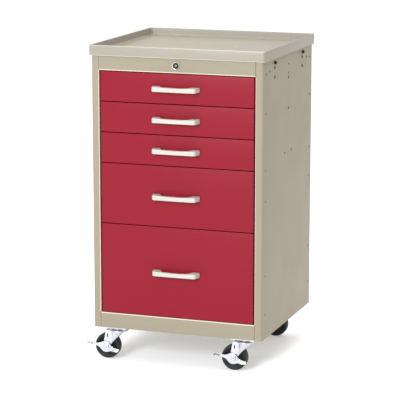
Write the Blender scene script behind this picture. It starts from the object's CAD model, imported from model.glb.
import math
import bmesh
import bpy
from mathutils import Matrix, Vector


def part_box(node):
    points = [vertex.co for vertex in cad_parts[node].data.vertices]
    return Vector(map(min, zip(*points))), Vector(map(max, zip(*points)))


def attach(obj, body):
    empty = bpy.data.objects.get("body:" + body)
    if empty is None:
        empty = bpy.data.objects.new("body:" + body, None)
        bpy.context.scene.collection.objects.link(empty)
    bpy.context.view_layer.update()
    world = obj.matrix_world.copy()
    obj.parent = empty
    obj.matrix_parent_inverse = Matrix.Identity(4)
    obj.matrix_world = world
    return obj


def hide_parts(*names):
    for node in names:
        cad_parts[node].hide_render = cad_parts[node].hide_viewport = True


print("loading the packed cart")
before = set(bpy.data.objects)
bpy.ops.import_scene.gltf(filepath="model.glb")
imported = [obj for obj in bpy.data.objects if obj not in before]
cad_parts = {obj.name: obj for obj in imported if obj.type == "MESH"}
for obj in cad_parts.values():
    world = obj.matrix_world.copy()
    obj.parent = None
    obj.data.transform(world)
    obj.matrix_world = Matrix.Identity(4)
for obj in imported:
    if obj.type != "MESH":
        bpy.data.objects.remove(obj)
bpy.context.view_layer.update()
mm = 0.001
layAlong = {"Z": Matrix(), "Y": Matrix.Rotation(math.pi / 2, 4, "X"),
            "X": Matrix.Rotation(math.pi / 2, 4, "Y")}


# shapes are drawn in millimetres and scaled to metres when a piece is finished

def span(node):
    low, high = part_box(node)
    return Vector(low) / mm, Vector(high) / mm


def addBlock(bm, low, high):
    low, high = Vector(low), Vector(high)
    verts = bmesh.ops.create_cube(bm, size=1)["verts"]
    bmesh.ops.scale(bm, vec=high - low, verts=verts)
    bmesh.ops.translate(bm, vec=(low + high) / 2, verts=verts)
    return verts


def edgesOf(verts):
    chosen = set(verts)
    return [e for e in {e for v in verts for e in v.link_edges} if set(e.verts) <= chosen]


def along(edges, axis):
    return [e for e in edges if abs((e.verts[1].co - e.verts[0].co).normalized()[axis]) > 0.99]


def near(items, axis, value, slack=0.01):  # vertices, or edges and faces whose vertices all lie in a plane
    pick = lambda v: abs(v.co[axis] - value) < slack
    return [g for g in items if (pick(g) if isinstance(g, bmesh.types.BMVert) else all(map(pick, g.verts)))]


def roundEdges(bm, edges, width, segments=3):
    return bmesh.ops.bevel(bm, geom=edges, offset=width, offset_type="OFFSET", affect="EDGES",
                           segments=segments, profile=0.5, material=-1, clamp_overlap=True)


def roundCorner(bm, point, width, segments=5):
    verts = [v for v in bm.verts if (v.co - Vector(point)).length < 0.01]
    bmesh.ops.bevel(bm, geom=verts, offset=width, offset_type="OFFSET", affect="VERTICES",
                    segments=segments, profile=0.5, material=-1, clamp_overlap=True)


def join(bm, part):  # adds a finished part to a piece
    mesh = bpy.data.meshes.new("part")
    part.to_mesh(mesh)
    part.free()
    bm.from_mesh(mesh)
    bpy.data.meshes.remove(mesh)


def roundedBlock(bm, low, high, width, segments=2, axis=None):
    part = bmesh.new()
    addBlock(part, low, high)
    edges = part.edges[:] if axis is None else along(part.edges, axis)
    roundEdges(part, edges, width, segments)
    join(bm, part)


def turned(bm, profile, centre, steps=48, axis="Z"):  # profile: (radius, distance along the axis)
    part = bmesh.new()
    verts = [part.verts.new((r, 0, h)) for r, h in profile]
    edges = [part.edges.new(pair) for pair in zip(verts, verts[1:])]
    bmesh.ops.spin(part, geom=verts + edges, cent=(0, 0, 0), axis=(0, 0, 1), angle=math.tau,
                   steps=steps, use_merge=True, use_duplicate=False)
    bmesh.ops.remove_doubles(part, verts=part.verts, dist=0.0005)
    bmesh.ops.recalc_face_normals(part, faces=part.faces)
    bmesh.ops.transform(part, matrix=Matrix.Translation(centre) @ layAlong[axis], verts=part.verts)
    join(bm, part)


def hexagon(bm, centre, radius, height, axis="Z", chamfer=0.5):
    part = bmesh.new()
    bmesh.ops.create_cone(part, cap_ends=True, segments=6, radius1=radius, radius2=radius, depth=height)
    rims = [e for e in part.edges if abs(e.verts[0].co.z - e.verts[1].co.z) < 0.01]
    roundEdges(part, rims, chamfer, 2)
    bmesh.ops.transform(part, matrix=Matrix.Translation(centre) @ layAlong[axis], verts=part.verts)
    join(bm, part)


def plate(bm, outline, corners, push, holes=()):  # a flat outline with rounded corners, pushed into a plate
    part = bmesh.new()
    verts = [part.verts.new(p) for p in outline]
    for pair in zip(verts, verts[1:] + verts[:1]):
        part.edges.new(pair)
    for index, width in corners.items():
        roundCorner(part, outline[index], width, 6)
    rim = part.edges[:]
    for hole in holes:
        rim += hole(part)
    normal = Vector(push).normalized()
    bmesh.ops.triangle_fill(part, edges=rim, use_beauty=True, use_dissolve=False, normal=normal)
    bmesh.ops.dissolve_limit(part, angle_limit=0.01, verts=part.verts, edges=part.edges, delimit=set())
    for face in part.faces:
        if face.normal.dot(normal) > 0:
            face.normal_flip()
    made = bmesh.ops.extrude_face_region(part, geom=part.faces[:], use_keep_orig=True)["geom"]
    far = [g for g in made if isinstance(g, bmesh.types.BMVert)]
    bmesh.ops.translate(part, vec=push, verts=far)
    bmesh.ops.recalc_face_normals(part, faces=part.faces)
    join(bm, part)


def smoothLoop(points, steps=5):  # a closed curve through the points
    curve = []
    for k in range(len(points)):
        a, b, c, d = (Vector(points[(k + step) % len(points)]) for step in (-1, 0, 1, 2))
        for step in range(steps):
            t = step / steps
            curve.append(b + ((c - a) * t + (2 * a - 5 * b + 4 * c - d) * t ** 2
                              + (3 * b - a - 3 * c + d) * t ** 3) / 2)
    return curve


def foldedSheet(bm, path, bends, sweep, thickness, outside, holes=()):
    # bends a strip along a path, sweeps it, cuts round holes in its largest face, and gives it its thickness
    part = bmesh.new()
    verts = [part.verts.new(p) for p in path]
    for pair in zip(verts, verts[1:]):
        part.edges.new(pair)
    for index, width in bends.items():
        roundCorner(part, path[index], width, 6 if width > 4 else 4)
    made = bmesh.ops.extrude_edge_only(part, edges=part.edges[:])["geom"]
    bmesh.ops.translate(part, vec=sweep, verts=[g for g in made if isinstance(g, bmesh.types.BMVert)])
    bmesh.ops.recalc_face_normals(part, faces=part.faces)
    outside = Vector(outside)
    guide = max(part.faces, key=lambda f: abs(f.normal.dot(outside)) * f.calc_area())
    if guide.normal.dot(outside) < 0:
        bmesh.ops.reverse_faces(part, faces=part.faces)
    if holes:
        rim = list(guide.edges)
        bmesh.ops.delete(part, geom=[guide], context="FACES_ONLY")
        facing = outside.to_track_quat("Z", "Y").to_matrix().to_4x4()
        for centre, radius in holes:
            ring = bmesh.ops.create_circle(part, cap_ends=False, radius=radius, segments=20,
                                           matrix=Matrix.Translation(centre) @ facing)["verts"]
            rim += edgesOf(ring)
        filled = bmesh.ops.triangle_fill(part, edges=rim, use_beauty=True, use_dissolve=False,
                                         normal=outside)["geom"]
        for face in filled:
            if isinstance(face, bmesh.types.BMFace) and face.normal.dot(outside) < 0:
                face.normal_flip()
    bmesh.ops.solidify(part, geom=part.faces[:], thickness=thickness)
    join(bm, part)


def finishPiece(bm, name, body, finish, stands=(), bevel=0.0, segments=2, angle=32):
    bmesh.ops.scale(bm, vec=(mm, mm, mm), verts=bm.verts)
    mesh = bpy.data.meshes.new(name)
    bm.to_mesh(mesh)
    bm.free()
    mesh.polygons.foreach_set("use_smooth", [True] * len(mesh.polygons))
    mesh.set_sharp_from_angle(angle=math.radians(angle))
    piece = bpy.data.objects.new(name, mesh)
    bpy.context.collection.objects.link(piece)
    mesh.materials.append(finish.material)
    if bevel:
        edge = piece.modifiers.new("edges", "BEVEL")
        edge.width = bevel * mm
        edge.segments = segments
        edge.limit_method = "ANGLE"
        edge.angle_limit = math.radians(angle)
        edge.harden_normals = True
    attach(piece, body)
    if stands:
        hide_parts(*stands)
    return piece


class Wire:  # one socket's output, so that shader maths can be written as Python
    def __init__(self, finish, socket):
        self.finish = finish
        self.socket = socket

    def calc(self, operation, *values):
        return self.finish.add("ShaderNodeMath", {"operation": operation}, dict(enumerate(values)))

    def __add__(self, other):
        return self.calc("ADD", self, other)

    def __sub__(self, other):
        return self.calc("SUBTRACT", self, other)

    def __rsub__(self, other):
        return self.calc("SUBTRACT", other, self)

    def __mul__(self, other):
        return self.calc("MULTIPLY", self, other)

    def __pow__(self, other):
        return self.calc("POWER", self, other)

    __radd__ = __add__
    __rmul__ = __mul__

    def between(self, low, high):  # stretches low..high to 0..1
        return self.finish.add("ShaderNodeMapRange", {}, {0: self, 1: low, 2: high})


class Finish:
    def __init__(self, slotName, **fixed):
        self.slotName = slotName
        self.material = bpy.data.materials.new(slotName)
        self.material.use_nodes = True
        self.tree = self.material.node_tree
        self.shader = self.tree.nodes["Principled BSDF"]
        for name, value in fixed.items():
            self.shader.inputs[name.replace("_", " ")].default_value = value
        place = self.tree.nodes.new("ShaderNodeTexCoord")
        self.place = Wire(self, place.outputs["Object"])

    def add(self, kind, settings, sockets, output=0):
        node = self.tree.nodes.new(kind)
        for name, value in settings.items():
            if name == "stops":
                for (at, tone), stop in zip(value, node.color_ramp.elements):
                    stop.position = at
                    stop.color = tone
            else:
                setattr(node, name, value)
        for name, value in sockets.items():
            self.feed(node.inputs[name], value)
        return Wire(self, node.outputs[output])

    def feed(self, socket, value):
        if isinstance(value, Wire):
            self.tree.links.new(value.socket, socket)
        else:
            socket.default_value = value

    def drive(self, **sockets):  # what changes over the surface
        for name, value in sockets.items():
            self.feed(self.shader.inputs[name.replace("_", " ")], value)

    def noise(self, scale, detail=2.0, stretch=None):
        where = self.place
        if stretch:
            where = self.add("ShaderNodeMapping", {}, {"Vector": where, "Scale": stretch})
        return self.add("ShaderNodeTexNoise", {}, {"Vector": where, "Scale": scale, "Detail": detail})

    def cells(self, scale):
        return self.add("ShaderNodeTexVoronoi", {}, {"Vector": self.place, "Scale": scale}, "Distance")

    def strips(self, bends):  # a bend is its axis, place and reach, then the axis and the ends of its run
        parts = self.tree.nodes.new("ShaderNodeSeparateXYZ")
        self.feed(parts.inputs[0], self.place)
        across = Wire(self, parts.outputs["X"])
        places = {"X": across.calc("ABSOLUTE", across), "Z": Wire(self, parts.outputs["Z"])}
        mask = 0.0
        for axis, at, reach, run, start, end in bends:
            away = places[axis] - at * mm
            strip = away.calc("ABSOLUTE", away).between(reach * mm, 0.4 * reach * mm)
            ends = places[run].between(start * mm, (start + 0.5) * mm)
            ends = ends * places[run].between(end * mm, (end - 0.5) * mm)
            mask = strip * ends + mask
        front = Wire(self, parts.outputs["Y"]).between((fasciaLow.y + 4) * mm, (fasciaLow.y + 3) * mm)
        return mask.calc("MINIMUM", mask, 1.0) * front

    def mix(self, amount, first, second):
        return self.add("ShaderNodeMix", {"data_type": "RGBA"}, {0: amount, 6: first, 7: second}, 2)

    def bump(self, height, depth, strength=1.0):
        return self.add("ShaderNodeBump", {}, {"Height": height, "Distance": depth * mm,
                                               "Strength": strength})


def tone(red, green, blue):  # display values 0..255 to a linear colour
    return tuple((v / 255 / 12.92 if v < 11 else ((v / 255 + 0.055) / 1.055) ** 2.4)
                 for v in (red, green, blue)) + (1.0,)


def shade(colour, factor):
    return tuple(min(c * factor, 1.0) for c in colour[:3]) + (1.0,)


def powderCoat(slotName, colour, gloss, grain, cloud=0.05, bends=()):
    coat = Finish(slotName, Metallic=0.0, IOR=1.3, Specular_IOR_Level=0.35)
    drift = coat.noise(2.6, 3.0)
    fleck = coat.noise(grain * 1.7, 2.0)
    amount = (drift.between(0.3, 0.7) * 0.7 + fleck.between(0.3, 0.7) * 0.3)
    body = coat.mix(amount, shade(colour, 1 - cloud), shade(colour, 1 + cloud))
    if bends:
        body = coat.mix(coat.strips(bends), body, shade(colour, 2.5))
    coat.drive(Base_Color=body,
               Roughness=coat.noise(9.0, 3.0).between(0.2, 0.8) * 0.12 + gloss,
               Normal=coat.bump(coat.noise(grain, 2.0) + coat.noise(grain * 0.3, 1.0) * 1.5, 0.035, 0.6))
    return coat


def mouldedPlastic(slotName, colour, gloss, grain, depth, streak=None, bends=()):
    plastic = Finish(slotName, IOR=1.5, Specular_IOR_Level=0.35)
    drift = plastic.noise(6.0, 3.0).between(0.3, 0.7)
    if streak:
        drift = drift * 0.4 + plastic.noise(24.0, 3.0, streak).between(0.3, 0.7) * 0.6
    body = plastic.mix(drift, shade(colour, 0.96), shade(colour, 1.03))
    if bends:
        body = plastic.mix(plastic.strips(bends), body, shade(colour, 1.5))
    plastic.drive(Base_Color=body,
                  Roughness=plastic.noise(30.0, 2.0).between(0.25, 0.75) * 0.12 + gloss,
                  Normal=plastic.bump(plastic.cells(grain), depth, 0.7))
    return plastic


def zincPlate(slotName, colour, gloss, streak=(1.0, 1.0, 1.0)):
    zinc = Finish(slotName, Metallic=1.0)
    cloud = zinc.noise(45.0, 4.0).between(0.25, 0.75)
    rub = zinc.noise(260.0, 3.0, streak).between(0.2, 0.8)
    zinc.drive(Base_Color=zinc.mix(cloud * 0.7 + rub * 0.3, shade(colour, 0.86), shade(colour, 1.06)),
               Roughness=cloud * 0.10 + rub * 0.10 + gloss,
               Normal=zinc.bump(rub + zinc.noise(900.0, 2.0) * 0.5, 0.02, 0.5))
    return zinc


def blackRubber(slotName, colour, gloss):
    rubber = Finish(slotName, IOR=1.45)
    scuff = rubber.noise(55.0, 5.0).between(0.45, 0.8)
    rubber.drive(Base_Color=rubber.mix(scuff * 0.5, colour, shade(colour, 2.4)),
                 Roughness=scuff * 0.2 + gloss,
                 Normal=rubber.bump(rubber.noise(700.0, 3.0), 0.05, 0.6))
    return rubber


print("mixing the finishes")
fasciaLow, fasciaHigh = span("top_fascia")
trayLow, trayHigh = span("worktop")
railTop = span("base_pan")[1].z
cabinetPaint = powderCoat("cabinet_paint", tone(141, 132, 114), 0.34, 900.0, 0.03,
                          (("Z", fasciaLow.z + 1.6, 1.7, "X", -9, fasciaHigh.x + 0.4),
                           ("Z", railTop - 1.2, 1.7, "X", -9, fasciaHigh.x + 0.4),
                           ("X", fasciaHigh.x + 1.4, 1.2, "Z", railTop, fasciaLow.z)))
drawerPaint = powderCoat("drawer_paint", tone(127, 19, 35), 0.32, 1100.0, 0.03)
boxPaint = powderCoat("drawer_box_paint", tone(150, 143, 128), 0.45, 900.0)
worktopPlastic = mouldedPlastic("worktop_plastic", tone(143, 136, 123), 0.27, 1500.0, 0.03,
                                (0.15, 3.0, 1.0),
                                 (("Z", trayHigh.z - 0.8, 1.8, "X", -9, trayHigh.x),
                                  ("Z", trayLow.z + 1, 1.4, "X", -9, trayHigh.x)))
handlePlastic = mouldedPlastic("handle_plastic", tone(178, 176, 165), 0.34, 2200.0, 0.012)
slideZinc = zincPlate("slide_zinc", tone(196, 198, 200), 0.26, (1.0, 0.03, 1.0))
casterZinc = zincPlate("caster_zinc", tone(214, 216, 220), 0.17)
lockMetal = zincPlate("lock_metal", tone(210, 208, 202), 0.12)
plugMetal = zincPlate("lock_plug_metal", tone(150, 150, 146), 0.28)
rivetSteel = zincPlate("rivet_steel", tone(70, 67, 62), 0.35)
rivetSteel.slotName = "black_screw"
corePlastic = mouldedPlastic("wheel_core", tone(20, 20, 20), 0.42, 1500.0, 0.02)
tyreRubber = blackRubber("wheel_tyre", tone(9, 9, 9), 0.5)
blackPlastic = mouldedPlastic("black_screw", tone(9, 9, 9), 0.38, 1800.0, 0.01)


cabinet = {
    "returnDepth": 14,      # how far the inner edge of a post turns back
    "cornerRadius": 7,
    "bendRadius": 2.6,
    "sheet": 1.5,
    "holeColumns": 136.5,     # accessory holes, either side of the middle
    "holeRows": (31, 58),   # down from the top
    "holeRadius": 3.5,
    "smallHoles": ((0, 36, 1.5), (0, 62, 1.5), (0, 75, 2.5), (0, 165, 2.5), (-183, 37, 2), (180, 36, 2),
                   (-35, 292, 1.5), (35, 292, 1.5)),
    "edge": 0.35,
}


def sideHoles():  # place from front to back, depth below the top of the cabinet, radius
    columns = (-cabinet["holeColumns"], cabinet["holeColumns"])
    return ([(y, drop, cabinet["holeRadius"]) for y in columns for drop in cabinet["holeRows"]]
            + list(cabinet["smallHoles"]))


def sidePanel(node, name):
    low, high = span(node)
    side = 1 if high.x > 0 else -1
    wall = high.x if side > 0 else low.x
    inner = low.x if side > 0 else high.x
    path = [(inner, low.y + cabinet["returnDepth"], low.z), (inner, low.y, low.z), (wall, low.y, low.z),
            (wall, high.y, low.z), (inner, high.y, low.z)]
    bends = {1: cabinet["bendRadius"], 2: cabinet["cornerRadius"], 3: cabinet["cornerRadius"]}
    holes = [((wall, y, high.z - drop), radius) for y, drop, radius in sideHoles()]
    bm = bmesh.new()
    foldedSheet(bm, path, bends, (0, 0, high.z - low.z), cabinet["sheet"], (side, 0, 0), holes)
    finishPiece(bm, name, "cabinet", cabinetPaint, [node], cabinet["edge"])


rails = {"depth": 22, "lip": 8, "bend": 2.8, "sheet": 1.5, "edge": 0.3, "spread": 0.3, "wing": 15,
         "wingShort": 20}


def lockFascia():
    low, high = span("top_fascia")
    low.x, high.x = low.x - rails["spread"], high.x + rails["spread"]
    back = low.y + rails["depth"]
    path = [(low.x, back, low.z + rails["lip"]), (low.x, back, low.z), (low.x, low.y, low.z),
            (low.x, low.y, high.z)]
    bm = bmesh.new()
    foldedSheet(bm, path, {1: rails["bend"], 2: rails["bend"]}, (high.x - low.x, 0, 0), rails["sheet"],
                (0, -1, 0))
    finishPiece(bm, "lockFascia", "cabinet", cabinetPaint, ["top_fascia"], rails["edge"])


def basePan():
    low, high = span("base_pan")
    back = low.y + rails["depth"]
    x0, x1 = fasciaLow.x - rails["spread"], fasciaHigh.x + rails["spread"]
    path = [(x0, back, high.z - rails["lip"]), (x0, back, high.z), (x0, low.y, high.z),
            (x0, low.y, low.z), (x0, high.y, low.z)]
    bm = bmesh.new()
    foldedSheet(bm, path, {1: rails["bend"], 2: rails["bend"], 3: rails["bend"]}, (x1 - x0, 0, 0),
                rails["sheet"], (0, -1, 0))
    for side in (-1, 1):
        outer = high.x * side
        start = low.y + rails["wing"]
        wingPath = [(x1 * side, start, low.z), (outer, start, low.z), (outer, start, low.z + rails["wing"])]
        foldedSheet(bm, wingPath, {1: rails["bend"]}, (0, high.y - low.y - rails["wingShort"], 0),
                    rails["sheet"], (0, 0, -1))
    finishPiece(bm, "basePan", "cabinet", cabinetPaint, ["base_pan"], rails["edge"])


tray = {"outerRadius": 8, "innerRadius": 11, "rim": 4.5, "floor": 23, "fillet": 6, "rimRound": 2.0,
        "skirtWall": 2.4, "skirtDepth": 4, "steepEdge": 1.0}


def worktopTray():
    low, high = span("worktop")
    bm = bmesh.new()
    addBlock(bm, low, high)
    bmesh.ops.delete(bm, geom=near(bm.faces, 2, high.z), context="FACES_ONLY")
    roundEdges(bm, along(bm.edges, 2), tray["outerRadius"], 6)
    floorZ = high.z - tray["floor"]
    inset = Vector((tray["rim"], tray["rim"], 0))
    pocket = addBlock(bm, (low.x + inset.x, low.y + inset.y, floorZ),
                      (high.x - inset.x, high.y - inset.y, high.z))
    pocketFaces = list({f for v in pocket for f in v.link_faces})
    bmesh.ops.reverse_faces(bm, faces=pocketFaces)
    lid = [f for f in pocketFaces if all(abs(v.co.z - high.z) < 0.01 for v in f.verts)]
    bmesh.ops.delete(bm, geom=lid, context="FACES_ONLY")
    uprights = [e for e in along(edgesOf(pocket), 2)]
    roundEdges(bm, uprights, tray["innerRadius"], 6)
    floorEdges = [e for e in near(bm.edges, 2, floorZ) if len(e.link_faces) == 2]
    roundEdges(bm, floorEdges, tray["fillet"], 5)
    rim = [e for e in near(bm.edges, 2, high.z) if e.is_boundary]
    bmesh.ops.bridge_loops(bm, edges=rim)
    foot = near(bm.faces, 2, low.z)
    bmesh.ops.inset_region(bm, faces=foot, thickness=tray["skirtWall"], depth=0)
    foot = [f for f in near(bm.faces, 2, low.z) if f.calc_area() > 100000]
    made = bmesh.ops.extrude_face_region(bm, geom=foot)["geom"]
    bmesh.ops.delete(bm, geom=foot, context="FACES")
    bmesh.ops.translate(bm, vec=(0, 0, tray["skirtDepth"]),
                        verts=[g for g in made if isinstance(g, bmesh.types.BMVert)])
    rimEdges = [e for e in near(bm.edges, 2, high.z) if len(e.link_faces) == 2
                and e.calc_face_angle(0) > tray["steepEdge"]]
    roundEdges(bm, rimEdges, tray["rimRound"], 4)
    finishPiece(bm, "worktopTray", "cabinet", worktopPlastic, ["worktop"], 0, 2, 40)


fasteners = {
    "rivetHead": 3.0, "rivetRise": 0.8, "rivetY": (-217, 218),
    "rivetShares": (0.09, 0.23, 0.5, 0.61, 0.81, 0.95),
    "linerWall": 1.5, "linerRise": 0.6, "screwY": 138.5, "screwDrop": 17, "screwHead": 5.0,
    "screwRise": 6.0,
}


def sideFasteners():
    low, high = span("side_panel_right")
    size = high.z - low.z
    rivets = bmesh.new()
    screws = bmesh.new()
    r, h = fasteners["rivetHead"], fasteners["rivetRise"]
    head, rise = fasteners["screwHead"], fasteners["screwRise"]
    for side in (-1, 1):
        wall = high.x * side
        for share in fasteners["rivetShares"]:
            for y in fasteners["rivetY"]:
                turned(rivets, [(0, h * side), (r * 0.55, h * 0.92 * side), (r * 0.85, h * 0.6 * side),
                                (r, 0), (1.6, 0), (1.6, -1.5 * side), (0, -1.5 * side)],
                       (wall, y, low.z + share * size), 16, "X")
        for y in (-fasteners["screwY"], fasteners["screwY"]):
            turned(screws, [(0, (rise - 1.8) * side), (1.6, (rise - 1.8) * side),
                            (2.0, (rise - 0.3) * side), (2.6, rise * side), (head - 1.2, rise * side),
                            (head - 0.3, (rise - 0.7) * side), (head, (rise - 1.6) * side),
                            (head, 1.6 * side), (head - 0.6, 0.9 * side), (head, 0.2 * side), (head, 0),
                            (2.5, 0), (2.5, -4 * side), (0, -4 * side)],
                   (wall, y, high.z - fasteners["screwDrop"]), 28, "X")
    liners = bmesh.new()
    wall, rise = fasteners["linerWall"], fasteners["linerRise"]
    for side in (-1, 1):
        for y, drop, radius in sideHoles():
            at = (high.x * side, y, high.z - drop)
            bore = radius - 0.3 if radius > 3 else 0
            turned(liners, [(bore, rise * side), (radius + wall * 0.6, rise * side),
                            (radius + wall, 0.4 * rise * side), (radius + wall, 0), (radius, 0),
                            (radius, -1.2 * side), (bore, -1.2 * side)]
                   + [(bore, rise * side)] * bool(bore), at, 24, "X")
    finishPiece(liners, "holeLiners", "cabinet", blackPlastic)
    finishPiece(rivets, "panelRivets", "cabinet", rivetSteel, ["panel_rivets"])
    finishPiece(screws, "sideScrews", "cabinet", blackPlastic, ["side_screws"])


print("folding the cabinet")
sidePanel("side_panel_right", "rightSidePanel")
sidePanel("side_panel_left", "leftSidePanel")
lockFascia()
basePan()
worktopTray()
sideFasteners()


lock = {"ring": 11.5, "ringDepth": 3.5, "barrel": 9.5, "barrelLength": 24}


def drawerLock():
    low, high = span("lock_housing")
    z = (low.z + high.z) / 2
    front = low.y
    r, d = lock["ring"], lock["ringDepth"]
    ring = bmesh.new()
    turned(ring, [(9.0, -0.5), (9.4, -0.1), (9.9, 0), (10.7, 0), (r - 0.3, -0.6), (r, -1.6), (r, -d),
                  (lock["barrel"], -d), (lock["barrel"], -d - lock["barrelLength"]),
                  (6.1, -d - lock["barrelLength"]), (6.1, -2.4), (9.0, -2.4), (9.0, -0.5)], (0, front, z),
                  56, "Y")
    finishPiece(ring, "lockRing", "cabinet", lockMetal, ["lock_housing"])
    dark = bmesh.new()
    turned(dark, [(6.1, -1.9), (6.4, -1.5), (8.4, -1.1), (8.95, -1.3), (8.95, -2.4), (6.1, -2.4),
                  (6.1, -1.9)],
           (0, front, z), 48, "Y")
    finishPiece(dark, "lockCollar", "cabinet", blackPlastic)
    plugLow, plugHigh = span("lock_plug")
    back = plugHigh.y - plugLow.y
    plug = bmesh.new()
    turned(plug, [(0, -0.5), (2.7, -0.5), (3.2, -0.9), (3.2, -2.0), (6.0, -2.0), (6.0, -back), (0, -back)],
           (0, plugLow.y, z), 40, "Y")
    finishPiece(plug, "lockPlug", "lock_cylinder", plugMetal, ["lock_plug"])
    face = bmesh.new()
    turned(face, [(3.25, -0.9), (3.5, -0.6), (5.6, -0.9), (5.95, -1.3), (5.95, -1.95), (3.25, -1.95),
                  (3.25, -0.9)],
           (0, plugLow.y, z), 40, "Y")
    finishPiece(face, "plugFace", "lock_cylinder", blackPlastic)
    slot = bmesh.new()
    roundedBlock(slot, (-0.5, plugLow.y + 0.4, z - 2.3), (0.5, plugLow.y + 1.2, z + 2.3), 0.2, 2)
    finishPiece(slot, "keySlot", "lock_cylinder", blackPlastic)


print("fitting the lock")
drawerLock()


drawers = {
    "sheet": 1.2, "outerGap": 1.0, "frontRound": 1.6, "gripDip": 2.2, "hookOut": 16, "hookDrop": 8,
    "lipHeight": 12, "hookWidth": 16, "lip": 5, "boxRound": 2.0,
    "handleLength": 142, "handleFront": 130, "footWidth": 22, "grip": 8, "handleEdge": 1.9,
}


def drawerFront(number):
    low, high = span(f"drawer_{number}_front")
    high.z -= drawers["outerGap"] * (number == 1)
    low.z += drawers["outerGap"] * (number == 5)
    part = bmesh.new()
    addBlock(part, low, high)
    bmesh.ops.delete(part, geom=near(part.faces, 1, high.y), context="FACES")
    faceEdges = near(part.edges, 1, low.y)
    roundEdges(part, faceEdges + along(part.edges, 1), drawers["frontRound"], 4)
    bmesh.ops.solidify(part, geom=part.faces[:], thickness=drawers["sheet"])
    finishPiece(part, f"drawerFront{number}", f"drawer_{number}", drawerPaint, [f"drawer_{number}_front"])


def drawerHandle(number):
    low, high = span(f"drawer_{number}_handle")
    half, front, foot, grip = (drawers["handleLength"] / 2, drawers["handleFront"] / 2,
                               drawers["footWidth"], drawers["grip"])
    base = high.y
    z = low.z
    inner = half - foot
    deep = inner - 11
    bow = lambda x: low.y + 1.5 * (x / front) ** 2
    outline = [(-half, base, z), (-front, bow(front), z), (-front / 2, bow(front / 2), z), (0, low.y, z),
               (front / 2, bow(front / 2), z), (front, bow(front), z), (half, base, z), (inner, base, z),
               (deep, bow(deep) + grip, z), (deep / 2, bow(deep / 2) + grip, z), (0, low.y + grip, z),
               (-deep / 2, bow(deep / 2) + grip, z), (-deep, bow(deep) + grip, z), (-inner, base, z)]
    bm = bmesh.new()
    plate(bm, outline, {1: 6, 5: 6, 8: 9, 12: 9}, (0, 0, high.z - low.z))
    for v in near(bm.verts, 2, high.z):
        v.co.z -= drawers["gripDip"] * max(0.0, 1 - (v.co.x / inner) ** 2)
    finishPiece(bm, f"drawerHandle{number}", f"drawer_{number}", handlePlastic, [f"drawer_{number}_handle"],
                drawers["handleEdge"], 4, 30)


def drawerBox(number):
    low, high = span(f"drawer_{number}_box")
    back = high.y - drawers["hookOut"]
    part = bmesh.new()
    addBlock(part, low, (high.x, back, high.z))
    bmesh.ops.delete(part, geom=near(part.faces, 2, high.z), context="FACES")
    roundEdges(part, [e for e in part.edges if not e.is_boundary], drawers["boxRound"], 3)
    bmesh.ops.solidify(part, geom=part.faces[:], thickness=drawers["sheet"])
    bm = bmesh.new()
    join(bm, part)
    lip = drawers["lip"]
    for side in (-1, 1):
        edge = high.x * side
        roundedBlock(bm, (min(edge, edge - lip * side), low.y + 2, high.z - 3.2),
                     (max(edge, edge - lip * side), back - 2, high.z), 1.0, 3, 1)
    hookZ = high.z - drawers["hookDrop"] + 1.5
    half = drawers["hookWidth"] / 2
    path = [(-half, back - 0.4, hookZ), (-half, high.y, hookZ),
            (-half, high.y, hookZ - drawers["lipHeight"] - 1.5)]
    foldedSheet(bm, path, {1: 1.4}, (2 * half, 0, 0), 1.5, (0, 1, 0))
    finishPiece(bm, f"drawerBox{number}", f"drawer_{number}", boxPaint, [f"drawer_{number}_box"])


print("building the drawers")
for number in range(1, 6):
    drawerFront(number)
    drawerHandle(number)
    drawerBox(number)


caster = {
    "reach": 197, "setBack": 200, "trail": 33, "height": 102, "wheelRadius": 38, "wheelWidth": 24,
    "treadDepth": 8, "plateX": 76, "plateY": 80, "plateRound": 7, "sheet": 3, "boltX": 56, "boltY": 60,
    "crownTop": 89, "legOut": 16.5, "legSheet": 2.5, "crease": 16,
    "pedalOut": 22.0, "pedalSheet": 2.5, "pedalTilt": 4,
}
cornerSides = {"front_left": (-1, -1), "front_right": (1, -1), "rear_left": (-1, 1), "rear_right": (1, 1)}


def swivelPoint(corner):
    sideX, sideY = cornerSides[corner]
    return Vector((sideX * caster["reach"], sideY * caster["setBack"], 0))


def axlePoint(corner):
    return swivelPoint(corner) + Vector((-caster["trail"], 0, caster["wheelRadius"]))


def casterPlates():
    plates = bmesh.new()
    bolts = bmesh.new()
    top = caster["height"]
    under = top - caster["sheet"]
    for corner in cornerSides:
        c = swivelPoint(corner)
        part = bmesh.new()
        addBlock(part, (c.x - caster["plateX"] / 2, c.y - caster["plateY"] / 2, under),
                 (c.x + caster["plateX"] / 2, c.y + caster["plateY"] / 2, top))
        roundEdges(part, along(part.edges, 2), caster["plateRound"], 5)
        join(plates, part)
        turned(plates, [(0, under), (24, under), (24, 96), (23, 94), (20, 91.5), (20, 90), (5, 90),
                        (5, 85.5), (8, 85.5), (8, 83.4), (6.8, 82.5), (0, 82.5)], (c.x, c.y, 0), 48)
        for x in (-1, 1):
            for y in (-1, 1):
                at = (c.x + x * caster["boltX"] / 2, c.y + y * caster["boltY"] / 2)
                hexagon(bolts, (*at, under - 2), 5.5, 4, "Z", 0.5)
                turned(bolts, [(0, under), (3, under), (3, top + 5.5), (0, top + 5.5)], (*at, 0), 16)
                hexagon(bolts, (*at, top + 3.5), 5.5, 4, "Z", 0.5)
    finishPiece(plates, "casterPlates", "cabinet", casterZinc, ["caster_plates"], 0.5, 2)
    finishPiece(bolts, "casterBolts", "cabinet", casterZinc, ["caster_bolts"])


def slotHole(centre, radius, length):
    def cut(part):
        ring = bmesh.ops.create_circle(part, cap_ends=False, radius=radius, segments=16,
                                       matrix=Matrix.Translation(centre) @ layAlong["Y"])["verts"]
        for v in ring:
            v.co.z += math.copysign((length - 2 * radius) / 2, v.co.z - centre[2])
        return edgesOf(ring)
    return cut


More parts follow.
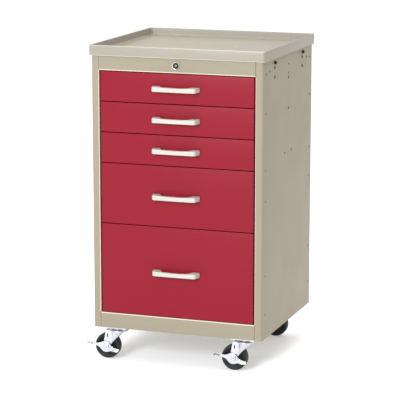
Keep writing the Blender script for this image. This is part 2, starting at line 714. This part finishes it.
def forkSide(bm, axle, side):
    out, sheet, crease = caster["legOut"], caster["legSheet"], caster["crease"]
    y = axle.y + side * out
    crown = caster["crownTop"] - caster["wheelRadius"]
    at = lambda x, z, depth=0.0: (axle.x + x, y + side * depth, axle.z + z)
    outline = [at(-2, crown - 1), at(-8, 18), at(-12, 2), at(-12, -12), at(12, -12), at(12, 2),
               at(crease, 9), at(crease, crown - 1)]
    plate(bm, outline, {1: 8, 3: 11.5, 4: 11.5, 5: 4}, (0, -side * sheet, 0),
          [slotHole((axle.x + 3, y, axle.z + 33), 1.8, 11)])
    gusset = bmesh.new()
    steps = 10
    upper, lower = [], []
    for k in range(steps + 1):
        u = k / steps
        angle = math.radians(126 - u * 91.3)
        flare = min(1.0, u * 3.2) if u < 0.6 else 1.0
        bulge = 29 * math.sin(angle) - out
        upper.append(gusset.verts.new(at(33 + 29 * math.cos(angle), crown - 1,
                                         bulge * math.sin(flare * math.pi / 2))))
        lower.append(gusset.verts.new(at(crease + u * 40.8, 9 + 40 * u ** 0.86, 0)))
    rows = [gusset.edges.new(pair) for chain in (upper, lower) for pair in zip(chain, chain[1:])]
    bmesh.ops.bridge_loops(gusset, edges=rows)
    bmesh.ops.subdivide_edges(gusset, edges=[e for e in gusset.edges if e not in rows], cuts=3,
                              use_grid_fill=True)
    for v in gusset.verts:
        rise = (v.co.z - axle.z - 9) / (crown - 10)
        beyondCrease = 1 if v.co.x > axle.x + crease + 1 else 0
        v.co.y += side * 1.5 * math.sin(math.pi * max(0.0, min(1.0, rise))) * beyondCrease
    bmesh.ops.remove_doubles(gusset, verts=gusset.verts, dist=0.05)
    bmesh.ops.recalc_face_normals(gusset, faces=gusset.faces)
    if sum(f.normal.y * f.calc_area() for f in gusset.faces) * side < 0:
        bmesh.ops.reverse_faces(gusset, faces=gusset.faces)
    bmesh.ops.solidify(gusset, geom=gusset.faces[:], thickness=sheet * 0.8)
    join(bm, gusset)


def casterFork(corner):
    c = swivelPoint(corner)
    axle = axlePoint(corner)
    top = caster["crownTop"]
    bm = bmesh.new()
    turned(bm, [(5.1, top), (12, top), (13.5, top - 0.8), (19, top - 0.8), (20.5, top), (26.5, top),
                (28.4, top - 0.8), (29, top - 2.2), (28.6, top - 3), (5.1, top - 3), (5.1, top)],
                (c.x, c.y, 0), 56)
    roundedBlock(bm, (axle.x - 2, c.y - caster["legOut"], top - 3),
                 (c.x - 6, c.y + caster["legOut"], top - 0.3), 0.8, 2)
    for side in (-1, 1):
        forkSide(bm, axle, side)
    finishPiece(bm, corner.replace("_", "") + "Fork", f"{corner}_swivel", casterZinc, [f"{corner}_fork"],
                0.5, 2, 40)


def casterAxle(corner):
    low, high = span(f"{corner}_axle")
    a = axlePoint(corner)
    bm = bmesh.new()
    tip = low.y
    nutBack = tip + 1.5 + 5
    turned(bm, [(0, a.y - tip), (2.6, a.y - tip), (3.9, a.y - tip - 1.0), (3.9, a.y - high.y),
                (0, a.y - high.y)],
           (a.x, a.y, a.z), 24, "Y")
    hexagon(bm, (a.x, high.y - 2.5, a.z), 6.5, 5, "Y", 0.8)
    hexagon(bm, (a.x, nutBack - 2.5, a.z), 6.5, 5, "Y", 0.8)
    finishPiece(bm, corner.replace("_", "") + "Axle", f"{corner}_swivel", casterZinc, [f"{corner}_axle"])


def casterWheel(corner):
    a = axlePoint(corner)
    r, w, t = caster["wheelRadius"], caster["wheelWidth"] / 2, caster["treadDepth"]
    hub, rim = 11, r - t
    core = bmesh.new()
    turned(core, [(4.08, -w - 1), (hub - 1.2, -w - 1), (hub, -w + 0.2), (hub + 1.5, -7.2), (hub + 4, -6.4),
                  (rim - 7, -6.4), (rim - 4.6, -7.2), (rim - 3.4, -w + 2.2), (rim - 2.2, -w + 1.5),
                  (rim, -w + 1.5), (rim, w - 1.5), (rim - 2.2, w - 1.5), (rim - 3.4, w - 2.2),
                  (rim - 4.6, 7.2), (rim - 7, 6.4), (hub + 4, 6.4), (hub + 1.5, 7.2), (hub, w - 0.2),
                  (hub - 1.2, w + 1), (4.08, w + 1), (4.08, -w - 1)],
           (a.x, a.y, a.z), 72, "Y")
    finishPiece(core, corner.replace("_", "") + "WheelCore", f"{corner}_roller", corePlastic,
                [f"{corner}_wheel"])
    tyre = bmesh.new()
    turned(tyre, [(rim, -w + 0.4), (rim + 1.2, -w), (r - 3.4, -w), (r - 1.6, -w + 0.7), (r - 0.5, -w + 2.0),
                  (r - 0.15, -w + 4), (r, -w + 7), (r, w - 7), (r - 0.15, w - 4), (r - 0.5, w - 2.0),
                  (r - 1.6, w - 0.7), (r - 3.4, w), (rim + 1.2, w), (rim, w - 0.4), (rim, -w + 0.4)],
                  (a.x, a.y, a.z), 96, "Y")
    finishPiece(tyre, corner.replace("_", "") + "Tyre", f"{corner}_roller", tyreRubber, [f"{corner}_tyre"])


def brakePedal(corner):
    a = axlePoint(corner)
    t = caster["pedalSheet"]
    front = -caster["pedalOut"]
    bm = bmesh.new()
    rim = [(-57, 3.5), (-53, 6.3), (-42, 7), (-29, 6.5), (-19, 9.5), (-8, 14.5), (2, 14), (10, 9),
           (17, 2.5), (26, -1.8), (37, -3.2), (41, -6), (37, -10), (24, -12.2), (14, -13), (6, -16),
           (-1, -17), (-8, -15.5), (-15, -10), (-22, -4.5), (-31, -1.5), (-44, -1), (-53, 0.7)]
    outline = smoothLoop([(x, front, z) for x, z in rim])
    plate(bm, outline, {}, (0, t, 0))
    turned(bm, [(4.1, -2.4), (8.5, -2.4), (10.5, -1.2), (14, 0.6), (4.1, 0.6), (4.1, -2.4)], (0, front, 0),
           40, "Y")
    turned(bm, [(4.1, -0.5), (9, -0.5), (9, 5.0), (4.1, 5.0), (4.1, -0.5)], (0, front + 0.1, 0), 32, "Y")
    roundedBlock(bm, (19, front - 6.5, -12), (40, front + t, -9.6), 0.9, 2)
    roundedBlock(bm, (-57, front - 13.5, 3.6), (-40, front + t, 6.2), 1.0, 2)
    turnBack = Matrix.Translation(a) @ Matrix.Rotation(math.radians(caster["pedalTilt"]), 4, "Y")
    bmesh.ops.transform(bm, matrix=turnBack, verts=bm.verts)
    finishPiece(bm, corner.replace("_", "") + "BrakePedal", f"{corner}_brake", casterZinc,
                [f"{corner}_brake_pedal"], 0.6, 2, 40)


print("building the casters")
casterPlates()
for corner in cornerSides:
    casterFork(corner)
    casterAxle(corner)
    casterWheel(corner)
    if corner.startswith("front"):
        brakePedal(corner)

print("painting the pieces that stay as they are")
carried = {"back_panel": cabinetPaint, "top_panel": cabinetPaint, "slide_uprights": slideZinc,
           "slide_channels": slideZinc, "lock_rod": slideZinc, "lock_bar": slideZinc}
for number in range(1, 6):
    carried[f"drawer_{number}_runners"] = slideZinc
    carried[f"drawer_{number}_mid_runners"] = slideZinc
for node, finish in carried.items():
    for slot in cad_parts[node].material_slots:
        slot.material = finish.material


studio = {
    "cameraAt": (1.8546, -5.3301, 1.5648), "yaw": 19.32, "pitch": 11.16, "lens": 174.0,
    # a lamp is its place, its aim, its size, its power and its tint
    "keyLight": ((-0.7, -5.0, 2.4), (0, 0, 0.5), (1.6, 1.6), 220, (0.93, 1.0, 1.08)),
    "topLight": ((0.4, 0.4, 3.8), (0, 0, 0.9), (3.0, 3.0), 85, (1.0, 1.0, 1.0)),
    "skyTint": (1, 0.985, 0.95, 1),
    "floorSize": 80, "floorTone": 0.82, "floorGlow": 0.3, "skyStrength": 0.88,
}


def paleFloor(name, tone, glow):
    paint = Finish(name, Roughness=0.9)
    paint.slotName = ""
    patch = paint.noise(3.0, 2.0).between(0.0, 1.0)
    level = (tone * 0.985, tone * 0.995, tone * 1.015, 1.0)
    paint.drive(Base_Color=paint.mix(patch, level, shade(level, 0.995)))
    paint.shader.inputs["Emission Color"].default_value = (1, 1, 1, 1)
    paint.shader.inputs["Emission Strength"].default_value = glow
    paint.shader.inputs["Specular IOR Level"].default_value = 0.0
    return paint


def softBox(name, at, aim, size, power, tint):
    lamp = bpy.data.lights.new(name, "AREA")
    lamp.shape = "RECTANGLE"
    lamp.size, lamp.size_y = size
    lamp.energy = power
    lamp.color = tint
    holder = bpy.data.objects.new(name, lamp)
    holder.location = at
    holder.rotation_euler = (Vector(aim) - Vector(at)).to_track_quat("-Z", "Y").to_euler()
    bpy.context.collection.objects.link(holder)


print("setting the studio")
floorMesh = bmesh.new()
bmesh.ops.create_grid(floorMesh, x_segments=1, y_segments=1, size=studio["floorSize"] / 2)
floorData = bpy.data.meshes.new("studioFloor")
floorMesh.to_mesh(floorData)
floorMesh.free()
studioFloor = bpy.data.objects.new("studioFloor", floorData)
floorData.materials.append(paleFloor("studioWhite", studio["floorTone"], studio["floorGlow"]).material)
bpy.context.collection.objects.link(studioFloor)

sky = bpy.data.worlds.new("studioSky")
sky.use_nodes = True
sky.node_tree.nodes["Background"].inputs["Color"].default_value = studio["skyTint"]
sky.node_tree.nodes["Background"].inputs["Strength"].default_value = studio["skyStrength"]
bpy.context.scene.world = sky

for name in ("keyLight", "topLight"):
    softBox(name, *studio[name])

view = bpy.data.cameras.new("photoView")
view.sensor_width = 36
view.lens = studio["lens"]
view.clip_end = 200
cameraHolder = bpy.data.objects.new("photoView", view)
yaw, pitch = math.radians(studio["yaw"]), math.radians(studio["pitch"])
backward = Vector((math.sin(yaw) * math.cos(pitch), -math.cos(yaw) * math.cos(pitch), math.sin(pitch)))
cameraHolder.location = studio["cameraAt"]
cameraHolder.rotation_euler = (-backward).to_track_quat("-Z", "Y").to_euler()
bpy.context.collection.objects.link(cameraHolder)
bpy.context.scene.camera = cameraHolder
bpy.context.scene.view_settings.view_transform = "Standard"

print("finished")
